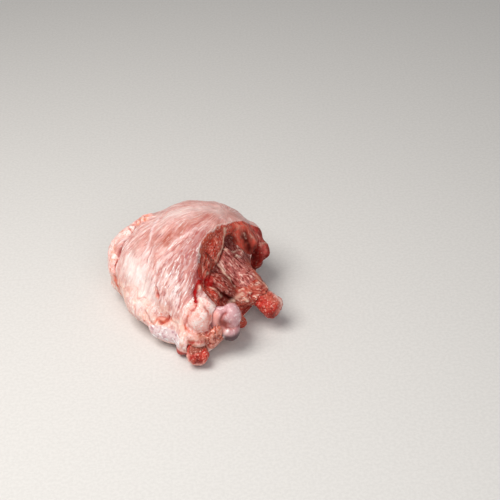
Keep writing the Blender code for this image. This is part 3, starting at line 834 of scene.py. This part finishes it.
# A sheet of sinew, or a painted glint, is its points, its half width, its height and how pale it is.
SINEW_SHEETS_AND_GLINTS = (
    (((33.5, -5, 77), (34.5, -4.6, 72.5), (33, -6.5, 70), (32, -10, 68)), 1.3, 0.3, 1.0),
    (((32, -10, 68), (31.5, -14, 65.5), (28, -20, 64), (25, -25, 60)), 1.0, 0.4, 0.9),
    # These four are painted glints in the cavity.
    (((38, -3, 51.5), (41, -3, 52)), 0.7, 0.3, 0.9),
    (((33, -13, 62.5), (35, -12, 61)), 0.7, 0.3, 0.9),
    (((41, -16, 55), (43, -14, 56.5)), 0.7, 0.3, 0.8),
    (((44, -4, 54), (47, -5, 53)), 0.6, 0.3, 0.7),
    # These four are painted highlights on the ragged tissue.
    (((43, -38, 39), (45, -37, 39)), 1.0, 0.5, 0.8),
    (((50, -40, 37), (53, -39, 36.5)), 0.9, 0.5, 0.8),
    (((47, -44, 34), (50, -45, 33)), 1.0, 0.5, 0.8),
    (((39, -41, 37.5), (42, -42, 37)), 0.9, 0.5, 0.7),
    (((16, -29, 70), (20, -32, 65), (21, -28, 57)), 0.8, 0.4, 0.6),
    (((21, -29, 56), (18, -41, 59), (15, -48, 58)), 1.0, 0.4, 0.7),
    (((27, -24, 55.5), (30.5, -26, 51.5), (32.5, -28.5, 48), (35, -30, 45), (37, -32.5, 42.5),
      (39.5, -33, 39)), 0.75, 0.4, 0.85),
    (((19.5, -47, 51), (22, -48, 50.5), (25, -49, 48), (27, -49, 44.5), (28.5, -47.5, 40)), 1.0, 0.4, 1.0),
    (((12.5, -55, 58), (12.5, -61, 53), (14, -68, 49)), 1.5, 0.6, 1.0),
    (((49, 6, 70), (49, 3, 66), (51, 2, 61)), 0.5, 0.3, 0.9),
    # These four are painted highlights on the lobe.
    (((55, 4, 63), (59, 4, 56)), 0.8, 0.3, 0.6),
    (((62, 14, 46), (65, 10, 40)), 0.8, 0.3, 0.6),
    (((60, 16.5, 54), (61.5, 16, 51)), 0.8, 0.3, 0.7),
    (((64, 14.5, 45.5), (65, 14, 43)), 0.9, 0.3, 0.7),
    (((22, -63, 45), (25, -60, 43)), 2.0, 0.5, 0.8),
    (((34, -45, 31), (38, -44, 33), (41, -43, 36), (45, -41, 37)), 1.8, 0.5, 0.8),
    (((59, -27, 43), (65, -31, 37), (71, -36, 32), (76, -41, 27)), 1.6, 0.3, 0.9),
)

blood = near_line(strayed, BLOOD_SPOT, BLOOD_HALF_WIDTH) * (0.8 + 0.7 * fat_mottle)
for points, width, depth, amount in NICKS:
    line = near_line(strayed, points, width)
    lump.push(-depth * line)
    blood = np.maximum(blood, amount * line * (0.85 + 0.4 * fat_mottle))
membrane_edge = band(off_scoop + RIM_STRAY * stray[:, 2], MEMBRANE_EDGE_OUT, MEMBRANE_EDGE_HALF_WIDTH)
membrane_edge *= ease((places[:, 2] - MEMBRANE_EDGE_LOW) / MEMBRANE_EDGE_RISE)
flank_edge = band(off_flank, FLANK_EDGE_OUT, FLANK_EDGE_HALF_WIDTH)
flank_edge *= ease((places[:, 0] - FLANK_EDGE_LEFT) / FLANK_EDGE_RISE)
sinew_and_painted_glints = np.maximum(0.65 * membrane_edge, 0.6 * flank_edge) * (1 - shoulder)
for points, width, height, amount in SINEW_SHEETS_AND_GLINTS:
    line = near_line(strayed, points, width)
    lump.push(height * line)
    sinew_and_painted_glints = np.maximum(sinew_and_painted_glints, amount * line)
lump.mark("blood", blood)
# This mark holds the pale sheets of sinew and the painted glints.
lump.mark("sinew_and_painted_glints", sinew_and_painted_glints * (0.8 + 0.4 * fat_mottle))
# Painted shade: places that lie below what surrounds them are painted darker, less so on the joint fat, the
# shreds, the far muscle and the shoulder.
hollow_shade = sum(0.5 * np.clip(lump.hollow(rounds) / depth, 0, 1) for rounds, depth in SHADED_HOLLOW_SIZES)
hollow_shade *= (1 - 0.6 * joint_fat * (1 - crinkled)) * (1 - 0.3 * shredded)
hollow_shade *= (1 - 0.7 * cut_part * shares[:, 0]) * (1 - 0.5 * shoulder_part)
lump.mark("hollow_shade", hollow_shade)

# Each tissue's own grain, for the threads and fibres that are finer than the skin's points.
flesh_fibres = np.where(is_torn[:, None], shreds / SHRED_WIDTH, cut_fibres)[:, [1, 2, 0]]
fibres = np.where(is_flesh[:, None], flesh_fibres, fan_places / THREAD)
for axis, name in enumerate(FIBRE_AXES.values()):
    lump.marks[name] = fibres[:, axis]

# Moist silverskin: a clear wet film over pale fat, pink where the muscle shows through it. It gives
# a soft even sheen, its fine threads break that into small bright glints, and more glints are painted on
# them.
silverskin = Finish("moist_silverskin_over_fat", "DDA299")
threads = silverskin.fibres()
silverskin.speckle("EBBCB4", 7.0, 0.42, 0.72)
silverskin.speckle("D08C84", 2.4, 0.50, 0.72)
silverskin.speckle("F6D6D0", 2.4, 0.50, 0.66, threads)
silverskin.speckle("D08E8A", 3.0, 0.52, 0.70, threads, where="blush")
silverskin.stain(("salmon", "B05A46"), ("flush", "A2453C"), ("pearl", "FFF8F4"), ("film_and_crest_light", "FBE9E9"),
                 ("rose", "BC6C68"))
silverskin.speckle("F4C2B2", 9.0, 0.40, 0.60, where="low")
silverskin.speckle("FFF1E8", 6.0, 0.50, 0.70, where="low")
silverskin.speckle("E2907E", 5.0, 0.57, 0.74, where="low")
silverskin.speckle("DC8E84", 2.0, 0.58, 0.78, where="low")
silverskin.speckle("FFFAF6", 2.0, 0.56, 0.74, where="low")
silverskin.speckle("A65E62", 0.9, 0.53, 0.68, threads, where="blush")
# Painted glints: small white flecks along the threads where the sheen mark is.
silverskin.speckle("FFFAF8", 0.8, 0.54, 0.64, threads, where="sheen")
silverskin.stain(("grease", "E79C74"), ("seam", "C65A4A"), ("pocket", "D8603C"), ("hollow_shade", "B4504A"),
                 ("blood", "7E0C0A"), ("sinew_and_painted_glints", "FBE9DC"))
silverskin.glow(0.1, (1.0, 0.35, 0.25), 1.0)
silverskin.shine(0.5, specular=0.3, coat=0.15, coat_roughness=0.15, grain=0.8, depth=0.13, place=threads)

# Joint fat: soft, cream to peach, in small lobes with pink seams. A wet film makes it look greasy.
joint_fat_finish = Finish("soft_joint_fat", "FCC6BE")
joint_fat_finish.speckle("FFF1EC", 6.0, 0.42, 0.66)
joint_fat_finish.speckle("E08A78", 3.6, 0.54, 0.70)
joint_fat_finish.speckle("EFA596", 1.8, 0.53, 0.66)
joint_fat_finish.speckle("FFFAF6", 2.4, 0.55, 0.70)
joint_fat_finish.stain(("seam", "C8543E"), ("grease", "EC9F80"), ("granular", "D2745C"),
                       ("crinkle", "8E2A1E"), ("tan", "B4705C"), ("smooth", "E8D0D1"),
                       ("scrap", "B43A2E"), ("pocket", "DA5A34"), ("hollow_shade", "B8483A"), ("blood", "A81C14"),
                       ("sinew_and_painted_glints", "FBE9DC"))
joint_fat_finish.speckle("F6C8BC", 1.5, 0.56, 0.64, where="granular")
joint_fat_finish.speckle("C08C96", 4.5, 0.50, 0.66, where="smooth")
# Painted sheen: white patches on the smooth lobe.
joint_fat_finish.speckle("FFFFFF", 3.6, 0.52, 0.64, where="smooth")
joint_fat_finish.shine(0.45, specular=0.35, coat=0.25, coat_roughness=0.15, grain=1.6, depth=0.3)

# Cut muscle: wet, brown red to mauve, with fibres and pale sheets of sinew. Its fibres break the
# shine of the wet cut into short glints; more glints are painted on the high places of its grain, and painted
# shade lies in its low places.
muscle = Finish("wet_cut_muscle", "C44434")
bundles = muscle.fibres()
muscle.speckle("C86452", 7.0, 0.45, 0.62)
muscle.speckle("963228", 4.0, 0.56, 0.74)
muscle.stain(("mauve", "B0645F"), ("glint", "F0C8BC"), ("deep", "68201C"))
muscle.speckle("5C1814", 0.9, 0.52, 0.66, bundles)
muscle.speckle("EAB0A2", 0.8, 0.55, 0.66, bundles)
muscle.stain(("raw", "D26A50"), ("shade", "400804"), ("hollow_shade", "5E0E08"), ("blood", "C41418"),
             ("sinew_and_painted_glints", "E6C8B2"))
muscle.shine(0.5, specular=0.03, coat=0.08, coat_roughness=0.12, grain=1.0, depth=0.35, place=bundles,
             dry="shade")

# Torn flesh: bright wet red with paler streaks of fat in it. Its shreds scatter the wet shine, and painted
# light and shade lie over it too.
torn_flesh = Finish("wet_torn_flesh", "A82419")
shred_fibres = torn_flesh.fibres()
torn_flesh.speckle("7E120E", 4.0, 0.45, 0.65)
torn_flesh.stain(("browned", "DE5E4E"), ("torn", "CC6250"), ("shredded", "D27A68"), ("painted_ridge_light", "E66E68"))
torn_flesh.speckle("A8241A", 3.0, 0.50, 0.60, where="shredded")
torn_flesh.speckle("6A120E", 1.2, 0.52, 0.70, shred_fibres)
torn_flesh.speckle("E0907E", 1.2, 0.54, 0.70, shred_fibres)
torn_flesh.speckle("FBDCCC", 1.4, 0.55, 0.62, shred_fibres, where="shredded")
torn_flesh.speckle("8E2A1E", 2.6, 0.50, 0.66, shred_fibres, where="browned")
torn_flesh.speckle("EE9E88", 2.0, 0.53, 0.68, shred_fibres, where="browned")
torn_flesh.speckle("6A1410", 1.0, 0.53, 0.70, shred_fibres, where="browned")
torn_flesh.speckle("EC9C88", 1.0, 0.54, 0.70, shred_fibres, where="browned")
torn_flesh.stain(("tear", "741410"), ("raw", "D26A50"), ("shade", "3A0404"), ("hollow_shade", "580806"),
                 ("blood", "A80F14"), ("sinew_and_painted_glints", "F0D0BC"))
torn_flesh.shine(0.5, specular=0.03, coat=0.1, coat_roughness=0.1, grain=1.1, depth=0.35, place=shred_fibres,
                 dry="shade")

is_fatty = np.max([joint_fat, fringe, smooth_lobe], axis=0) > 0.5
tissues = [silverskin.material, muscle.material, torn_flesh.material, joint_fat_finish.material]
tissue = np.select([is_torn, is_flesh, is_fatty], [2, 1, 3], 0)
beef_lump = lump.finish("beef_lump", tissues, tissue)
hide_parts("meat")
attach(beef_lump, "root")

# Joint cartilage
# The smooth head of the joint is covered with cartilage, which the knife left bare. It has two
# knuckles with an amber hollow between them, and a wet film makes it gleam. A highlight is painted along one
# lip.
CARTILAGE_GRID = 0.5
CARTILAGE_SMOOTHING = 10
CARTILAGE_WAVE = 0.25
CARTILAGE_WAVE_GRAIN = 6.0
KNUCKLE_CREASE = ((31, -68, 41), (27.5, -71, 37), (28, -73, 32), (32, -74, 29), (37, -73, 29), (41, -68, 28))
KNUCKLE_CREASE_HALF_WIDTH = 1.2
KNUCKLE_CREASE_TINT_WIDTH = 1.6
KNUCKLE_CREASE_DEPTH = 1.2
AMBER_HOLLOW = ((29, -71, 34.5), (32, -72, 32))
AMBER_HALF_WIDTH = 3.8
GLEAM_LIP = ((32.5, -75, 28), (28, -74, 21))
GLEAM_LIP_HALF_WIDTH = 1.2
GLEAM_LIP_HEIGHT = 0.5
FLUSHED_SIDE = ((22, -69, 39), (24, -73, 34), (27, -75, 27))
FLUSHED_HALF_WIDTH = 5.0
CARTILAGE_SHADE_TOP = 27.0
CARTILAGE_SHADE_FADE = 5.0

knuckles = Skin("joint_cartilage", CARTILAGE_GRID, CARTILAGE_SMOOTHING)
spots = knuckles.places + 0.5 * drift(knuckles.places, 5.0, 111)
crease = near_line(spots, KNUCKLE_CREASE, KNUCKLE_CREASE_HALF_WIDTH)
gleam_lip = near_line(spots, GLEAM_LIP, GLEAM_LIP_HALF_WIDTH)
wave = CARTILAGE_WAVE * cloud(spots, CARTILAGE_WAVE_GRAIN, 114)
knuckles.push(wave + GLEAM_LIP_HEIGHT * gleam_lip - KNUCKLE_CREASE_DEPTH * crease)
amber = near_line(spots, AMBER_HOLLOW, AMBER_HALF_WIDTH)
knuckles.mark("amber", 1.2 * amber * (0.85 + 0.4 * cloud(spots, 2.5, 116)))
knuckles.mark("crease", 0.9 * near_line(spots, KNUCKLE_CREASE, KNUCKLE_CREASE_TINT_WIDTH))
knuckles.mark("flushed", near_line(spots, FLUSHED_SIDE, FLUSHED_HALF_WIDTH) + 0.25 * cloud(spots, 4.0, 115))
# Painted shade: the cartilage is painted darker towards its bottom.
knuckles.mark("low", ease((CARTILAGE_SHADE_TOP - spots[:, 2]) / CARTILAGE_SHADE_FADE))
# Painted highlight along the lip.
knuckles.mark("gleam", gleam_lip)

# Hyaline cartilage: smooth, milky lilac and glossy, with light scattered under its surface.
hyaline = Finish("wet_hyaline_cartilage", "D8A8AC")
hyaline.speckle("C48A90", 4.0, 0.44, 0.66)
hyaline.speckle("F6DEDF", 3.0, 0.54, 0.68)
hyaline.stain(("flushed", "E0A098"), ("low", "54343A"), ("crease", "A8463E"), ("amber", "8E4038"),
              ("gleam", "FBEFEE"))
hyaline.glow(0.1, (1.0, 0.6, 0.55), 1.5)
hyaline.shine(0.42, specular=0.3, coat=0.25, coat_roughness=0.15, grain=2.0, depth=0.07)
cartilage = knuckles.finish("joint_cartilage_head", [hyaline.material])
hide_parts("joint_cartilage")
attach(cartilage, "root")

# Bone ends
# Two bones end in the open: one at the front, broken out of its joint, and one at the right, sawn
# off blunt with the hollow of its marrow. Both show red spongy bone inside a thin pale shell.
BONE_GRID = 0.45
BONE_SMOOTHING = 8
BONE_ROUGHNESS = 0.45
BONE_ROUGHNESS_GRAIN = 3.0
RIM_HEIGHT = 0.3
PORE_GRAIN = 2.4
PORE_DEPTH = 0.35
FRONT_RIM = ((-1, -88, 19), (0, -89, 13), (3, -89, 8), (9, -89, 7), (13, -89, 10))
END_RIM = ((76, -42, 29), (77, -42, 24), (75, -43, 17))
UPPER_EDGE = ((62, -29, 39), (67, -33, 36), (72, -38, 32), (76, -41, 28))
UPPER_SLOPE = ((60, -37, 38), (66, -41, 34), (72, -44, 30))
UPPER_SLOPE_HALF_WIDTH = 3.8
MARROW = ((69, -50, 21), (70, -50, 20))
CAP_HEIGHT = 17.0
CAP_FRONT = -80.0
FRONT_HOLLOW = ((7, -89, 12), (9, -89, 10))
BONES = (("bone_end_front", ((FRONT_RIM, 1.5, 0.9),), ((FRONT_HOLLOW, 2.5, 0.7),)),
         ("bone_end_right", ((END_RIM, 2.0, 1.0), (UPPER_EDGE, 1.8, 1.0)), ((MARROW, 4.0, 0.8),)))

# Spongy bone: fine pale beams with red marrow between them, wet on the cut.
spongy_bone = Finish("wet_spongy_bone", "C0342A")
spongy_bone.speckle("D25C4A", 3.0, 0.44, 0.62)
spongy_bone.stain(("slope", "BC5A48"), ("cap", "9C4C3C"))
spongy_bone.speckle("7E1A16", 2.0, 0.54, 0.74)
spongy_bone.speckle("F4BCB0", 1.5, 0.55, 0.70)
spongy_bone.stain(("pore", "6A0E0A"), ("rim", "F6CCC0"))
spongy_bone.shine(0.5, specular=0.15, coat=0.12, coat_roughness=0.15, grain=0.9, depth=0.4)

for node, rims, hollows in BONES:
    bone = Skin(node, BONE_GRID, BONE_SMOOTHING)
    spots = bone.places + 0.5 * drift(bone.places, 4.0, 121)
    nearest, second = lobules(spots, PORE_GRAIN, 124)
    rim = drawn(spots, rims)
    pores = ease(1.2 - nearest) * (1 - rim)
    roughness = BONE_ROUGHNESS * cloud(spots, BONE_ROUGHNESS_GRAIN, 125)
    bone.push(roughness + RIM_HEIGHT * rim - PORE_DEPTH * pores)
    bone.mark("rim", rim * (0.9 + 0.3 * cloud(spots, 3.0, 126)))
    bone.mark("pore", 0.4 * pores + drawn(spots, hollows))
    slope = near_line(spots, UPPER_SLOPE, UPPER_SLOPE_HALF_WIDTH)
    bone.mark("slope", 0.8 * ease(1.6 * slope - 0.2))
    bone.mark("cap", ease(spots[:, 2] - CAP_HEIGHT) * ease(CAP_FRONT - spots[:, 1]))
    piece = bone.finish(node + "_spongy", [spongy_bone.material])
    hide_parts(node)
    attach(piece, "root")
